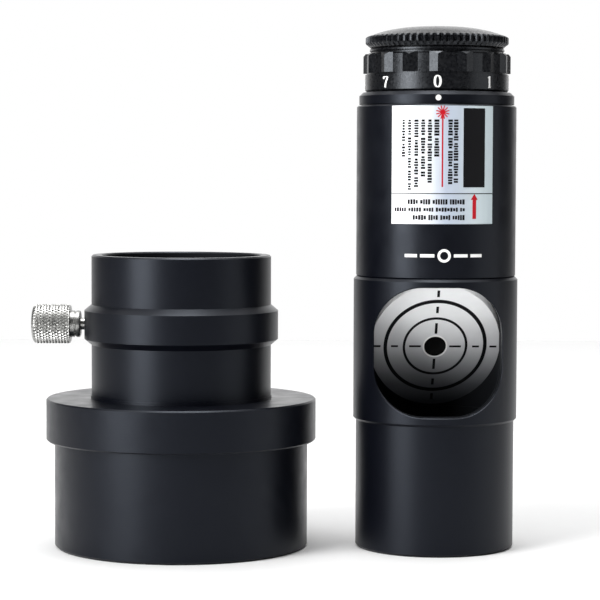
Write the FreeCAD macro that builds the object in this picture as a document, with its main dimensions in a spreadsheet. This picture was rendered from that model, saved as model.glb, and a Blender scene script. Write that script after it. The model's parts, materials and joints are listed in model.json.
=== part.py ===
import FreeCAD, Part
import math
import os
import re

import Sketcher

# Laser collimator for reflecting telescopes, with its 2 inch adapter standing beside it.
# Millimetres. The origin is the centre of the collimator barrel's lower end, +Z runs up the
# barrel, -Y is the side with the target window, and the adapter stands towards -X.

# Driving dimensions: alias, value, what it is. Heights are above the barrel's lower end.
SIZES = [
    ("barrel_radius", 15.85, "1.25 inch barrel"),
    ("barrel_length", 25.6, "plain barrel below the window section"),
    ("edge_break", 0.5, "chamfer on the large outer edges"),
    ("fine_break", 0.3, "chamfer on the small outer edges"),
    ("filter_thread_radius", 13.95, "wall of the 1.25 inch filter thread"),
    ("filter_thread_length", 4.0, "depth of the 1.25 inch filter thread"),
    ("barrel_bore_radius", 13.6, "inside of the barrel"),
    ("lip_height", 24.5, "underside of the stop lip in the barrel"),
    ("lip_radius", 12.7, "opening of the stop lip"),
    ("lip_thickness", 2.5, "stop lip"),
    ("window_section_radius", 16.4, "outside of the window section"),
    ("window_section_top", 54.4, "seam between window section and laser housing"),
    ("spigot_radius", 14.2, "spigot that joins the laser housing"),
    ("spigot_length", 5.3, "spigot that joins the laser housing"),
    ("fit_gap", 0.05, "radial clearance of running and screwed fits"),
    ("target_bore_radius", 13.0, "bore that holds the target plug"),
    ("window_width", 25.2, "target window"),
    ("window_height", 25.4, "target window"),
    ("window_corner", 9.4, "corner radius of the target window"),
    ("window_rim_break", 0.15, "chamfer round the target window"),
    ("window_centre", 40.1, "middle of the target window"),
    ("target_centre", 40.25, "where the 45 degree target crosses the beam axis"),
    ("beam_hole_radius", 2.15, "hole in the target for the beam"),
    ("housing_radius", 15.93, "outside of the laser housing"),
    ("housing_top", 88.4, "upper end of the laser housing"),
    ("housing_bore_radius", 12.4, "inside of the laser housing"),
    ("board_ledge", 82.0, "ledge that carries the switch board"),
    ("board_thickness", 1.0, "switch board"),
    ("adjust_height", 75.0, "plane of the three adjusting screws"),
    ("adjust_hole_radius", 1.5, "tapped hole of an adjusting screw"),
    ("adjust_tip", 8.7, "distance from the beam axis to a screw's tip"),
    ("adjust_length", 6.0, "M3 grub screw"),
    ("label_bottom", 65.2, "lower edge of the label foil"),
    ("label_height", 22.9, "label foil"),
    ("label_angle", 75.9, "arc that the label foil covers"),
    ("label_turn", 1.95, "middle of the label foil, from the front towards +X"),
    ("foil_thickness", 0.06, "label foil"),
    ("seat_top", 64.6, "upper face of the pivot seat"),
    ("pivot_height", 62.4, "centre of the O-ring that the laser tilts on"),
    ("ring_major_radius", 9.4, "pivot O-ring"),
    ("ring_minor_radius", 0.8, "pivot O-ring"),
    ("sleeve_radius", 8.5, "laser sleeve"),
    ("sleeve_bore_radius", 5.0, "laser sleeve"),
    ("sleeve_bottom", 60.6, "laser sleeve"),
    ("sleeve_top", 77.5, "laser sleeve"),
    ("cell_radius", 4.95, "lens retainer and diode holder"),
    ("lens_radius", 4.0, "collimating lens"),
    ("lens_crown", 62.2, "lowest point of the lens"),
    ("lens_back", 64.4, "flat back of the lens"),
    ("diode_seat", 71.5, "step in the diode holder"),
    ("diode_flange_radius", 2.8, "laser diode"),
    ("dial_turn", -2.7, "collar and dial, turned from the front towards +X"),
    ("collar_radius", 15.47, "index collar"),
    ("collar_top", 91.0, "index collar"),
    ("collar_floor", 86.2, "underside of the index collar's floor"),
    ("hub_radius", 9.0, "hub of the brightness dial"),
    ("hub_bottom", 84.4, "hub of the brightness dial"),
    ("stem_radius", 2.95, "stem of the battery liner"),
    ("dial_gap", 0.15, "gap between collar and dial"),
    ("detent_circle", 11.8, "circle of the detent ball and its dimples"),
    ("detent_ball_radius", 0.8, "detent ball"),
    ("detent_relief", 0.45, "depth of the groove that the detent ball runs in"),
    ("band_radius", 14.31, "numbered band of the dial"),
    ("band_top", 94.5, "numbered band of the dial"),
    ("grip_groove", 0.3, "width and depth of the groove between band and ridges"),
    ("grip_core_radius", 14.05, "bottom of the valleys between the dial's ridges"),
    ("grip_peak_radius", 14.68, "peak of the dial's ridges"),
    ("grip_top", 98.75, "upper end of the dial's ridges"),
    ("neck_radius", 13.0, "neck above the dial's ridges"),
    ("dial_rim", 99.8, "upper rim of the dial"),
    ("dial_rim_radius", 13.42, "upper rim of the dial"),
    ("battery_floor", 92.4, "floor of the battery bore"),
    ("battery_bore_radius", 10.3, "battery bore"),
    ("battery_radius", 10.0, "20 mm coin battery"),
    ("battery_bottom", 92.95, "coin battery"),
    ("battery_thickness", 3.2, "coin battery"),
    ("cap_bore_radius", 11.6, "threaded mouth of the dial"),
    ("cap_bore_bottom", 96.6, "threaded mouth of the dial"),
    ("cap_thread_gap", 0.1, "radial clearance of the cap's thread"),
    ("cap_thread_pitch", 0.75, "battery cap"),
    ("cap_radius", 14.25, "battery cap over its knurl"),
    ("cap_bottom", 99.95, "underside of the battery cap"),
    ("cap_shoulder", 102.25, "edge of the cap's dome"),
    ("overall_height", 104.15, "top of the battery cap"),
    ("adapter_distance", 51.0, "from the collimator's axis to the adapter's"),
    ("adapter_barrel_radius", 25.375, "2 inch barrel"),
    ("adapter_barrel_length", 21.4, "2 inch barrel"),
    ("adapter_thread_radius", 23.6, "wall of the 2 inch filter thread"),
    ("adapter_thread_length", 5.0, "depth of the 2 inch filter thread"),
    ("adapter_bore_radius", 23.0, "inside of the 2 inch barrel"),
    ("flange_radius", 27.05, "flange of the 2 inch barrel"),
    ("flange_top", 29.8, "flange of the 2 inch barrel"),
    ("flange_wall", 4.0, "top wall of the 2 inch barrel"),
    ("holder_radius", 18.0, "eyepiece holder"),
    ("holder_top", 58.5, "eyepiece holder"),
    ("holder_bore_radius", 15.95, "bore for a 1.25 inch barrel"),
    ("holder_spigot_radius", 16.95, "spigot that joins the 2 inch barrel"),
    ("holder_foot_radius", 18.15, "narrow foot of the eyepiece holder"),
    ("holder_foot_height", 0.6, "narrow foot of the eyepiece holder"),
    ("holder_band_radius", 19.43, "raised band that carries the thumb screw"),
    ("holder_band_bottom", 41.7, "raised band that carries the thumb screw"),
    ("holder_band_top", 47.4, "raised band that carries the thumb screw"),
    ("holder_band_slope", 1.2, "height of the band's chamfers"),
    ("thumb_height", 44.55, "axis of the thumb screw"),
    ("thumb_thread_radius", 1.5, "M3 thumb screw"),
    ("thumb_tip", 16.2, "thumb screw's tip, from the adapter's axis"),
    ("thumb_neck_start", 19.2, "end of the thumb screw's thread"),
    ("thumb_neck_radius", 1.2, "neck of the thumb screw"),
    ("thumb_collar_start", 20.2, "polished collar of the thumb screw"),
    ("thumb_collar_radius", 2.7, "polished collar of the thumb screw"),
    ("thumb_head_start", 22.2, "knurled head of the thumb screw"),
    ("thumb_head_end", 29.9, "knurled head of the thumb screw"),
    ("thumb_head_radius", 4.0, "knurled head of the thumb screw"),
    ("thumb_head_break", 1.2, "chamfer at the head's outer end"),
]

FRONT = -90.0
THIRD_TURN = 120.0
RIDGE_COUNT = 16
RIDGE_HALF_ANGLE = math.radians(6.6)
DETENT_COUNT = 8
RESISTOR_COUNT = 7

doc = FreeCAD.newDocument("laser_collimator")
sheet = doc.addObject("Spreadsheet::Sheet", "Sizes")
kept = []


def fill_sheet():
    """One row for each driving dimension: its note, and its value under its alias."""
    for row, (alias, value, note) in enumerate(SIZES, start=1):
        sheet.set(f"A{row}", note)
        sheet.set(f"B{row}", str(value))
        sheet.setAlias(f"B{row}", alias)
    doc.recompute()


def linked(text):
    """A size written with alias names, as an expression that reads the sheet."""
    return re.sub(r"[a-z][a-z_]+", lambda word: "Sizes." + word.group(), text)


def value_of(text):
    """The present value of a size written with alias names."""
    return float(sheet.evalExpression(linked(text)))


def bind(obj, **sizes):
    """Ties each named property of an object to a size in the sheet."""
    for name, text in sizes.items():
        obj.setExpression(name, linked(text))


def keep(obj, label, base=("0", "0", "0"), rotation=None):
    """Names a finished sub-part, places it, and lists it for writing."""
    obj.Label = label
    obj.Placement = FreeCAD.Placement(FreeCAD.Vector(*map(value_of, base)),
                                      rotation or FreeCAD.Rotation())
    for axis, text in zip("xyz", base):
        obj.setExpression("Placement.Base." + axis, linked(text))
    kept.append(obj)
    return obj


# ---- sketches and features of the PartDesign bodies ----

def new_body(name):
    return doc.addObject("PartDesign::Body", name + "_body")


def new_sketch(body, plane, name, offset="0"):
    """An empty sketch on one of the body's own origin planes, or parallel to it."""
    sketch = body.newObject("Sketcher::SketchObject", name)
    support = [item for item in body.Origin.OriginFeatures if item.Role == plane]
    sketch.AttachmentSupport = [(support[0], "")]
    sketch.MapMode = "FlatFace"
    sketch.setExpression("AttachmentOffset.Base.z", linked(offset))
    doc.recompute()
    return sketch


def arc_between(start, end, radius):
    """The short arc from start to end; its centre lies to the left when radius is positive."""
    chord = end - start
    middle = (start + end) * 0.5
    left = FreeCAD.Vector(-chord.y, chord.x, 0).normalize()
    rise = math.sqrt(radius ** 2 - chord.Length ** 2 / 4)
    centre = middle + left * math.copysign(rise, radius)
    outward = (middle - centre).normalize()
    return Part.Arc(start, centre + outward * abs(radius), end)


def hold(sketch, kind, geometry, point, text):
    """Dimensions one coordinate of a sketch point from the origin, and binds it to the sheet."""
    constraint = Sketcher.Constraint(kind, -1, 1, geometry, point, value_of(text))
    index = sketch.addConstraint(constraint)
    sketch.setExpression(f"Constraints[{index}]", linked(text))


def draw_outline(sketch, outline):
    """A closed outline. An item is (x, y), or (x, y, radius) where an arc runs on to the next."""
    points = [FreeCAD.Vector(value_of(item[0]), value_of(item[1]), 0) for item in outline]
    ends = []
    for index, item in enumerate(outline):
        start = points[index]
        end = points[(index + 1) % len(points)]
        if len(item) == 3:
            radius = value_of(item[2])
            sketch.addGeometry(arc_between(start, end, radius))
            ends.append((1, 2) if radius > 0 else (2, 1))
        else:
            sketch.addGeometry(Part.LineSegment(start, end))
            ends.append((1, 2))
    for index, item in enumerate(outline):
        following = (index + 1) % len(outline)
        sketch.addConstraint(Sketcher.Constraint(
            "Coincident", index, ends[index][1], following, ends[following][0]))
        hold(sketch, "DistanceX", index, ends[index][0], item[0])
        hold(sketch, "DistanceY", index, ends[index][0], item[1])
        if len(item) == 3:
            radius = sketch.addConstraint(
                Sketcher.Constraint("Radius", index, abs(value_of(item[2]))))
            sketch.setExpression(f"Constraints[{radius}]", linked(item[2].lstrip("-")))


def draw_circle(sketch, x, y, radius):
    """A circle whose centre and radius are bound to the sheet."""
    centre = FreeCAD.Vector(value_of(x), value_of(y), 0)
    circle = Part.Circle(centre, FreeCAD.Vector(0, 0, 1), value_of(radius))
    index = sketch.addGeometry(circle)
    hold(sketch, "DistanceX", index, 3, x)
    hold(sketch, "DistanceY", index, 3, y)
    size = sketch.addConstraint(Sketcher.Constraint("Radius", index, value_of(radius)))
    sketch.setExpression(f"Constraints[{size}]", linked(radius))


def dome_radius(edge, rise):
    """Radius of a dome that rises by rise within a circle of radius edge."""
    return f"(({edge}) ^ 2 + ({rise}) ^ 2) / (2 * ({rise}))"


def revolve(body, name, outline, kind="Revolution"):
    """Turns an outline of (radius, height) sizes about Z, as solid or as a Groove."""
    sketch = new_sketch(body, "XZ_Plane", name + "_outline")
    draw_outline(sketch, outline)
    feature = body.newObject("PartDesign::" + kind, name)
    feature.Profile = sketch
    feature.ReferenceAxis = (sketch, ["V_Axis"])
    feature.Angle = 360.0
    doc.recompute()
    return feature


def extrude(body, name, sketch, length, kind="Pad", backwards=False, both_ways=False):
    """A Pad or Pocket of a sketch, over a length bound to the sheet."""
    feature = body.newObject("PartDesign::" + kind, name)
    feature.Profile = sketch
    feature.Reversed = backwards
    if both_ways:
        feature.SideType = "Symmetric"
    bind(feature, Length=length)
    doc.recompute()
    return feature


def repeat_round(body, name, feature, count):
    """Repeats a feature evenly round the body's Z axis."""
    pattern = body.newObject("PartDesign::PolarPattern", name)
    pattern.Originals = [feature]
    pattern.Axis = (feature.Profile[0], ["N_Axis"] if is_level(feature) else ["V_Axis"])
    pattern.Angle = 360.0
    pattern.Occurrences = count
    body.Tip = pattern
    doc.recompute()
    return pattern


def is_level(feature):
    """True when the feature's sketch lies on the XY plane."""
    return feature.Profile[0].AttachmentSupport[0][0].Role == "XY_Plane"


def thread_grooves(body, name, radius, first, pitch, count, depth):
    """Ring grooves that stand for a screw thread, cut into a shaft along Z."""
    outline = [
        (f"{radius} - {depth}", first),
        (f"{radius} + {depth}", f"{first} - {pitch} / 2"),
        (f"{radius} + {depth}", f"{first} + {pitch} / 2"),
    ]
    groove = revolve(body, name + "_first", outline, "Groove")
    pattern = body.newObject("PartDesign::LinearPattern", name)
    pattern.Originals = [groove]
    pattern.Direction = (groove.Profile[0], ["V_Axis"])
    pattern.Occurrences = count
    bind(pattern, Length=f"{pitch} * {count - 1}")
    body.Tip = pattern
    doc.recompute()


def turned(label, outline, **where):
    """A sub-part made in one turning."""
    body = new_body(label)
    revolve(body, label + "_turning", outline)
    return keep(body, label, **where)


# ---- Part primitives ----

def primitive(kind, name, rotation=None, position=("0", "0", "0"), **sizes):
    """A Part primitive with its sizes and its place bound to the sheet."""
    obj = doc.addObject("Part::" + kind, name)
    bind(obj, **sizes)
    obj.Placement = FreeCAD.Placement(FreeCAD.Vector(), rotation or FreeCAD.Rotation())
    for axis, text in zip("xyz", position):
        obj.setExpression("Placement.Base." + axis, linked(text))
    doc.recompute()
    return obj


def cut(name, base, tool):
    obj = doc.addObject("Part::Cut", name)
    obj.Base = base
    obj.Tool = tool
    doc.recompute()
    return obj


def compound(name, pieces):
    obj = doc.addObject("Part::Compound", name)
    obj.Links = pieces
    doc.recompute()
    return obj


def coil_spring(label, radius, wire, bottom, top, turns, centre=("0", "0")):
    """A compression spring between two heights, swept along a helix."""
    rise = f"({top} - ({bottom}) - 2 * {wire})"
    path = primitive("Helix", label + "_path", Radius=radius, Height=rise,
                     Pitch=f"{rise} / {turns}")
    section = primitive("Circle", label + "_section", position=(radius, "0", "0"),
                        rotation=FreeCAD.Rotation(FreeCAD.Vector(1, 0, 0), 90), Radius=wire)
    sweep = doc.addObject("Part::Sweep", label + "_sweep")
    sweep.Sections = [section]
    sweep.Spine = (path, [f"Edge{index + 1}" for index in range(len(path.Shape.Edges))])
    sweep.Solid = True
    sweep.Frenet = True
    doc.recompute()
    return keep(sweep, label, base=(centre[0], centre[1], f"{bottom} + {wire}"))


# ---- collimator body ----

def make_main_barrel():
    """Barrel, window section and spigot, turned in one piece, with the window milled out."""
    body = new_body("main_barrel")
    revolve(body, "barrel_turning", [
        ("filter_thread_radius", "0"),
        ("barrel_radius - edge_break", "0"),
        ("barrel_radius", "edge_break"),
        ("barrel_radius", "barrel_length"),
        ("window_section_radius - edge_break", "barrel_length"),
        ("window_section_radius", "barrel_length + edge_break"),
        ("window_section_radius", "window_section_top - edge_break"),
        ("window_section_radius - edge_break", "window_section_top"),
        ("spigot_radius", "window_section_top"),
        ("spigot_radius", "window_section_top + spigot_length"),
        ("target_bore_radius", "window_section_top + spigot_length"),
        ("target_bore_radius", "lip_height + lip_thickness"),
        ("lip_radius", "lip_height + lip_thickness"),
        ("lip_radius", "lip_height"),
        ("barrel_bore_radius", "lip_height"),
        ("barrel_bore_radius", "filter_thread_length"),
        ("filter_thread_radius", "filter_thread_length"),
    ])
    outline = []
    corners = [(1, -1), (1, 1), (-1, 1), (-1, -1)]
    for right, up in corners:
        side = f"{right} * window_width / 2"
        side_in = f"{right} * (window_width / 2 - window_corner)"
        edge = f"window_centre + {up} * window_height / 2"
        edge_in = f"window_centre + {up} * (window_height / 2 - window_corner)"
        before, after = (side_in, edge), (side, edge_in)
        if right == up:
            before, after = after, before
        outline.append(before + ("window_corner",))
        outline.append(after)
    sketch = new_sketch(body, "XZ_Plane", "window_outline")
    draw_outline(sketch, outline)
    window = extrude(body, "window", sketch, "window_section_radius + 1", "Pocket",
                     backwards=True)
    rim = body.newObject("PartDesign::Chamfer", "window_rim")
    rim.Base = (window, rim_edges(window.Shape, value_of("window_section_radius")))
    bind(rim, Size="window_rim_break")
    doc.recompute()
    keep(body, "main_barrel")


def rim_edges(shape, radius):
    """Names of the edges that the window cuts in the outside wall."""
    low = value_of("window_centre - window_height / 2") - 0.01
    high = value_of("window_centre + window_height / 2") + 0.01
    names = []
    for index, edge in enumerate(shape.Edges, start=1):
        points = edge.discretize(5)
        outside = all(abs(math.hypot(point.x, point.y) - radius) < 0.01 for point in points)
        in_window = all(low < point.z < high and point.y < 0 for point in points)
        if outside and in_window:
            names.append(f"Edge{index}")
    return names


def make_target_plug():
    """Round plug whose lower end is the 45 degree target, with the beam hole down its middle."""
    body = new_body("target_plug")
    bottom = "target_centre - target_bore_radius"
    revolve(body, "plug_turning", [
        ("beam_hole_radius", bottom),
        ("target_bore_radius - fit_gap / 2", bottom),
        ("target_bore_radius - fit_gap / 2", "window_section_top + spigot_length"),
        ("beam_hole_radius", "window_section_top + spigot_length"),
    ])
    sketch = new_sketch(body, "YZ_Plane", "target_outline")
    reach = "(target_bore_radius + 1)"
    draw_outline(sketch, [
        (f"-{reach}", f"target_centre + {reach}"),
        (f"-{reach}", f"target_centre - {reach}"),
        (reach, f"target_centre - {reach}"),
    ])
    extrude(body, "target_face", sketch, f"2 * {reach}", "Pocket", both_ways=True)
    keep(body, "target_plug")


def make_laser_housing():
    """Tube over the laser, with a socket at each end and three tapped holes."""
    body = new_body("laser_housing")
    socket = "spigot_radius + fit_gap"
    revolve(body, "housing_turning", [
        (socket, "window_section_top"),
        ("housing_radius - fine_break", "window_section_top"),
        ("housing_radius", "window_section_top + fine_break"),
        ("housing_radius", "housing_top - fine_break"),
        ("housing_radius - fine_break", "housing_top"),
        ("spigot_radius", "housing_top"),
        ("spigot_radius", "board_ledge"),
        ("housing_bore_radius", "board_ledge"),
        ("housing_bore_radius", "window_section_top + spigot_length + 0.2"),
        (socket, "window_section_top + spigot_length + 0.2"),
    ])
    sketch = new_sketch(body, "XZ_Plane", "adjust_hole_outline")
    draw_circle(sketch, "0", "adjust_height", "adjust_hole_radius")
    hole = extrude(body, "adjust_hole", sketch, "housing_radius + 1", "Pocket", backwards=True)
    repeat_round(body, "adjust_holes", hole, 3)
    keep(body, "laser_housing")


def make_label_plate():
    """Curved label foil on the front of the laser housing."""
    outside = primitive("Cylinder", "label_outside", Height="label_height", Angle="label_angle",
                        Radius="housing_radius + foil_thickness")
    inside = primitive("Cylinder", "label_inside", Height="label_height", Angle="label_angle",
                       Radius="housing_radius")
    start = FRONT + value_of("label_turn - label_angle / 2")
    keep(cut("label_cut", outside, inside), "label_plate", base=("0", "0", "label_bottom"),
         rotation=FreeCAD.Rotation(FreeCAD.Vector(0, 0, 1), start))


# ---- laser module, which tilts on its O-ring ----

def make_pivot_seat():
    """Ring with the groove that the O-ring sits in."""
    groove = "ring_major_radius + ring_minor_radius + 2 * fit_gap"
    half_width = "ring_minor_radius + 4 * fit_gap"
    turned("pivot_seat", [
        ("sleeve_radius + 0.6", "window_section_top + spigot_length"),
        ("housing_bore_radius - fit_gap", "window_section_top + spigot_length"),
        ("housing_bore_radius - fit_gap", "seat_top"),
        ("sleeve_radius + 0.6", "seat_top"),
        ("sleeve_radius + 0.6", f"pivot_height + {half_width}"),
        (groove, f"pivot_height + {half_width}"),
        (groove, f"pivot_height - ({half_width})"),
        ("sleeve_radius + 0.6", f"pivot_height - ({half_width})"),
    ])


def make_pivot_o_ring():
    ring = primitive("Torus", "pivot_ring", Radius1="ring_major_radius",
                     Radius2="ring_minor_radius")
    keep(ring, "pivot_o_ring", base=("0", "0", "pivot_height"))


def make_laser_sleeve():
    """Brass sleeve that holds the lens, the diode and their spring."""
    turned("laser_sleeve", [
        ("sleeve_bore_radius / 2", "sleeve_bottom"),
        ("sleeve_radius - fine_break", "sleeve_bottom"),
        ("sleeve_radius", "sleeve_bottom + fine_break"),
        ("sleeve_radius", "sleeve_top - fine_break"),
        ("sleeve_radius - fine_break", "sleeve_top"),
        ("sleeve_bore_radius", "sleeve_top"),
        ("sleeve_bore_radius", "sleeve_bottom + 1"),
        ("sleeve_bore_radius / 2", "sleeve_bottom + 1"),
    ])


def make_collimating_lens():
    """Plano-convex lens, with its convex face towards the target."""
    edge = "lens_back - 0.9"
    turned("collimating_lens", [
        ("0", "lens_crown", dome_radius("lens_radius", f"{edge} - lens_crown")),
        ("lens_radius", edge),
        ("lens_radius", "lens_back"),
        ("0", "lens_back"),
    ])


def make_lens_retainer():
    """Threaded lens cell."""
    bottom = "(sleeve_bottom + 1.2)"
    body = new_body("lens_retainer")
    revolve(body, "cell_turning", [
        ("lens_radius + fit_gap", bottom),
        ("cell_radius", bottom),
        ("cell_radius", f"{bottom} + 6"),
        ("lens_radius - 1", f"{bottom} + 6"),
        ("lens_radius - 1", "lens_back"),
        ("lens_radius + fit_gap", "lens_back"),
    ])
    thread_grooves(body, "cell_thread", "cell_radius", f"({bottom} + 3.2)", "0.5", 5, "0.15")
    keep(body, "lens_retainer")


def make_diode_holder():
    """Ring that carries the laser diode by its flange."""
    turned("diode_holder", [
        ("diode_flange_radius - 0.85", "diode_seat - 1.2"),
        ("cell_radius", "diode_seat - 1.2"),
        ("cell_radius", "diode_seat + 2.8"),
        ("diode_flange_radius + fit_gap", "diode_seat + 2.8"),
        ("diode_flange_radius + fit_gap", "diode_seat"),
        ("diode_flange_radius - 0.85", "diode_seat"),
    ])


def make_laser_diode():
    """Metal can with a flange and three pins."""
    body = new_body("laser_diode")
    revolve(body, "can_turning", [
        ("0", "diode_seat - 1.9"),
        ("diode_flange_radius - 0.9", "diode_seat - 1.9"),
        ("diode_flange_radius - 0.9", "diode_seat"),
        ("diode_flange_radius", "diode_seat"),
        ("diode_flange_radius", "diode_seat + 1.2"),
        ("0", "diode_seat + 1.2"),
    ])
    sketch = new_sketch(body, "XY_Plane", "pin_outline", offset="diode_seat + 1.2")
    draw_circle(sketch, "0", "diode_flange_radius / 2", "diode_flange_radius / 12")
    pin = extrude(body, "pin", sketch, "diode_flange_radius - 0.4")
    repeat_round(body, "pins", pin, 3)
    keep(body, "laser_diode")


def make_driver_board():
    """Small upright circuit board with one chip on it."""
    board = primitive("Box", "driver_board_plate", Length="8", Width="0.8", Height="3.2",
                      position=("-4", "-0.4", "diode_seat + 3.8"))
    chip = primitive("Box", "driver_chip", Length="2.6", Width="0.8", Height="2",
                     position=("-1.3", "0.4", "diode_seat + 4.4"))
    joined = doc.addObject("Part::MultiFuse", "driver_board_joined")
    joined.Shapes = [board, chip]
    doc.recompute()
    keep(joined, "driver_board")


# ---- switch and index collar ----

def dial_rotation():
    return FreeCAD.Rotation(FreeCAD.Vector(0, 0, 1), value_of("dial_turn"))


def make_index_collar():
    """Collar that closes the housing, guides the dial's hub and carries the index dot."""
    body = new_body("index_collar")
    revolve(body, "collar_turning", [
        ("hub_radius + fit_gap", "collar_floor"),
        ("spigot_radius - 2.2", "collar_floor"),
        ("spigot_radius - 2.2", "board_ledge + board_thickness"),
        ("spigot_radius - fit_gap", "board_ledge + board_thickness"),
        ("spigot_radius - fit_gap", "housing_top"),
        ("collar_radius - 0.45", "housing_top"),
        ("collar_radius - 0.45", "housing_top + 0.25"),
        ("collar_radius", "housing_top + 0.25"),
        ("collar_radius", "collar_top - 0.7"),
        ("collar_radius - 0.75", "collar_top"),
        ("hub_radius + fit_gap", "collar_top"),
    ])
    sketch = new_sketch(body, "XY_Plane", "ball_pocket_outline", offset="collar_top")
    draw_circle(sketch, "0", "-detent_circle", "detent_ball_radius + fit_gap")
    extrude(body, "ball_pocket", sketch, "collar_top - collar_floor - 1.2", "Pocket")
    keep(body, "index_collar", rotation=dial_rotation())


def make_detent():
    """Ball that clicks into the dial's dimples, and the spring under it."""
    height = "collar_top + detent_relief - 0.15 - detent_ball_radius + dial_gap"
    place = dial_rotation() * FreeCAD.Vector(0, -1, 0)
    across = f"detent_circle * {place.x:.6f}"
    along = f"detent_circle * {place.y:.6f}"
    ball = primitive("Sphere", "ball", Radius="detent_ball_radius")
    keep(ball, "detent_ball", base=(across, along, height))
    coil_spring("detent_spring", radius="detent_ball_radius - 0.25", wire="0.12",
                bottom="collar_floor + 1.22", top=f"{height} - detent_ball_radius - 0.02",
                turns=4, centre=(across, along))


def make_switch_board():
    """Round board under the dial, with one contact pad for each dial position."""
    plate = primitive("Cylinder", "board_plate", Radius="spigot_radius - 0.3",
                      Height="board_thickness")
    hole = primitive("Cylinder", "board_hole", Radius="1.2", Height="board_thickness")
    keep(cut("board_cut", plate, hole), "switch_board", base=("0", "0", "board_ledge"))


def round_positions(count, radius, first_angle):
    """Places evenly spaced round the Z axis, each with the turn that faces it outwards."""
    for index in range(count):
        angle = first_angle + 360.0 * index / count
        across = math.cos(math.radians(angle))
        along = math.sin(math.radians(angle))
        yield angle, (f"{radius} * {across:.6f}", f"{radius} * {along:.6f}", "0")


def make_contact_pads():
    pads = []
    for index, (angle, position) in enumerate(round_positions(DETENT_COUNT, "6.5", FRONT)):
        pads.append(primitive("Cylinder", f"contact_pad_{index}", Radius="0.9", Height="0.15",
                              position=position))
    keep(compound("contact_pad_set", pads), "contact_pads",
         base=("0", "0", "board_ledge + board_thickness"))


def make_board_resistors():
    """Chip resistors under the board, one for each brightness step."""
    chips = []
    for index, (angle, position) in enumerate(round_positions(RESISTOR_COUNT, "9.8", FRONT)):
        chips.append(primitive("Box", f"resistor_{index}", Length="1.6", Width="0.8",
                               Height="0.5", position=position,
                               rotation=FreeCAD.Rotation(FreeCAD.Vector(0, 0, 1), angle)))
    keep(compound("resistor_set", chips), "board_resistors",
         base=("0", "0", "board_ledge - 0.5"))


def make_power_leads():
    """Two insulated leads that bend from the switch board towards the driver board."""
    top = value_of("board_ledge")
    bottom = value_of("diode_seat + 7.3")
    outer, inner, spread, wire_radius = 3.0, 0.8, 1.6, 0.35
    middle = FreeCAD.Vector(0, (outer + inner) / 2, (top + bottom) / 2)
    radius = ((outer - inner) ** 2 + (top - bottom) ** 2) / (4 * (outer - inner))
    sweep = math.asin((top - bottom) / 2 / radius)
    leads = []
    for side in (-spread, spread):
        shift = FreeCAD.Vector(side, 0, 0)
        start = FreeCAD.Vector(0, outer, top)
        end = FreeCAD.Vector(0, inner, bottom)
        sag = FreeCAD.Vector(0, radius * (1 - math.cos(sweep / 2)), radius * math.sin(sweep / 2))
        first = Part.Arc(start + shift, start - sag + shift, middle + shift).toShape()
        second = Part.Arc(middle + shift, end + sag + shift, end + shift).toShape()
        section = Part.Wire(Part.makeCircle(wire_radius, start + shift, FreeCAD.Vector(0, 0, 1)))
        leads.append(Part.Wire([first, second]).makePipeShell([section], True, False))
    feature = doc.addObject("Part::Feature", "power_leads_shape")
    feature.Shape = Part.makeCompound(leads)
    keep(feature, "power_leads")


def make_adjust_screws():
    """M3 grub screws that tilt the laser; the front one is under the label."""
    for label, angle in (("front", FRONT), ("right", FRONT + THIRD_TURN),
                         ("left", FRONT + 2 * THIRD_TURN)):
        name = "adjust_screw_" + label
        body = new_body(name)
        shank = "adjust_hole_radius - fit_gap"
        revolve(body, name + "_turning", [
            ("0", "adjust_tip"),
            ("adjust_hole_radius / 2", "adjust_tip"),
            (shank, "adjust_tip + 0.7"),
            (shank, "adjust_tip + adjust_length"),
            ("0", "adjust_tip + adjust_length"),
        ])
        thread_grooves(body, name + "_thread", shank, "adjust_tip + 1.2", "0.5", 6, "0.12")
        sketch = new_sketch(body, "XY_Plane", name + "_socket_outline",
                            offset="adjust_tip + adjust_length")
        key = "adjust_hole_radius * 0.577350"
        draw_outline(sketch, [(f"{key} * {math.cos(corner):.6f}", f"{key} * {math.sin(corner):.6f}")
                              for corner in (math.radians(60 * index) for index in range(6))])
        extrude(body, name + "_socket", sketch, "adjust_hole_radius", "Pocket")
        keep(body, name, base=("0", "0", "adjust_height"),
             rotation=FreeCAD.Rotation(angle, 90, 0))


# ---- brightness dial and battery ----

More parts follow.
